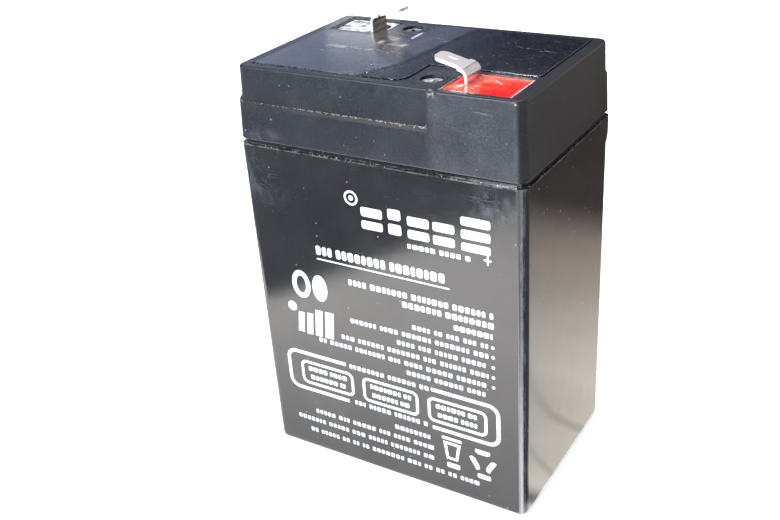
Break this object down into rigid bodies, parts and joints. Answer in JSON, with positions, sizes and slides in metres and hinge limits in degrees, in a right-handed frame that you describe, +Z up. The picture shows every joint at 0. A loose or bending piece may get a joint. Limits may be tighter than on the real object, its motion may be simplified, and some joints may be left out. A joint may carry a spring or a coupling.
{
  "type": "rechargeable battery",
  "caption": "Sealed lead-acid battery in a dark plastic case with a glued lid, a let-in vent cover and push-on tabs in resin-filled wells.",
  "frame": {"origin": "centre of the flat base, on the surface it stands on", "axes": "+Z up towards the terminals, +X along the long side towards the red positive well, +Y along the short side, away from the long front face"},
  "size_m": [0.07, 0.047, 0.106],
  "materials": {
    "case_plastic": "fine satin grain, scuffed",
    "lid_plastic": "satin, dusty",
    "cover_plastic": "fine matt grain, dusty",
    "tinned_tab": "tin plated, slightly dull",
    "red_resin": "glossy poured resin",
    "black_resin": "glossy poured resin",
    "soft_rubber": "matt",
    "joint_epoxy": "hard glue",
    "cast_lead": "dull cast lead",
    "negative_paste": "spongy grey lead",
    "positive_paste": "dark brown oxide",
    "glass_mat": "white fibre mat"
  },
  "bodies": {
    "root": {"container": "case_plastic", "lid": "lid_plastic", "vent_cover_plate": "cover_plastic", "valve_cap_1": "soft_rubber", "valve_cap_2": "soft_rubber", "valve_cap_3": "soft_rubber", "positive_terminal_tab": "tinned_tab", "negative_terminal_tab": "tinned_tab", "positive_resin_seal": "red_resin", "negative_resin_seal": "black_resin", "positive_post_ring": "soft_rubber", "negative_post_ring": "soft_rubber", "lid_joint_epoxy": "joint_epoxy", "negative_end_strap": "cast_lead", "intercell_strap_1_2": "cast_lead", "intercell_strap_2_3": "cast_lead", "positive_end_strap": "cast_lead", "cell_1_negative_plate_1": "negative_paste", "cell_1_negative_plate_2": "negative_paste", "cell_1_negative_plate_3": "negative_paste", "cell_1_negative_plate_4": "negative_paste", "cell_1_positive_plate_1": "positive_paste", "cell_1_positive_plate_2": "positive_paste", "cell_1_positive_plate_3": "positive_paste", "cell_1_separator_1": "glass_mat", "cell_1_separator_2": "glass_mat", "cell_1_separator_3": "glass_mat", "cell_2_negative_plate_1": "negative_paste", "cell_2_negative_plate_2": "negative_paste", "cell_2_negative_plate_3": "negative_paste", "cell_2_negative_plate_4": "negative_paste", "cell_2_positive_plate_1": "positive_paste", "cell_2_positive_plate_2": "positive_paste", "cell_2_positive_plate_3": "positive_paste", "cell_2_separator_1": "glass_mat", "cell_2_separator_2": "glass_mat", "cell_2_separator_3": "glass_mat", "cell_3_negative_plate_1": "negative_paste", "cell_3_negative_plate_2": "negative_paste", "cell_3_negative_plate_3": "negative_paste", "cell_3_negative_plate_4": "negative_paste", "cell_3_positive_plate_1": "positive_paste", "cell_3_positive_plate_2": "positive_paste", "cell_3_positive_plate_3": "positive_paste", "cell_3_separator_1": "glass_mat", "cell_3_separator_2": "glass_mat", "cell_3_separator_3": "glass_mat"}
  },
  "joints": []
}
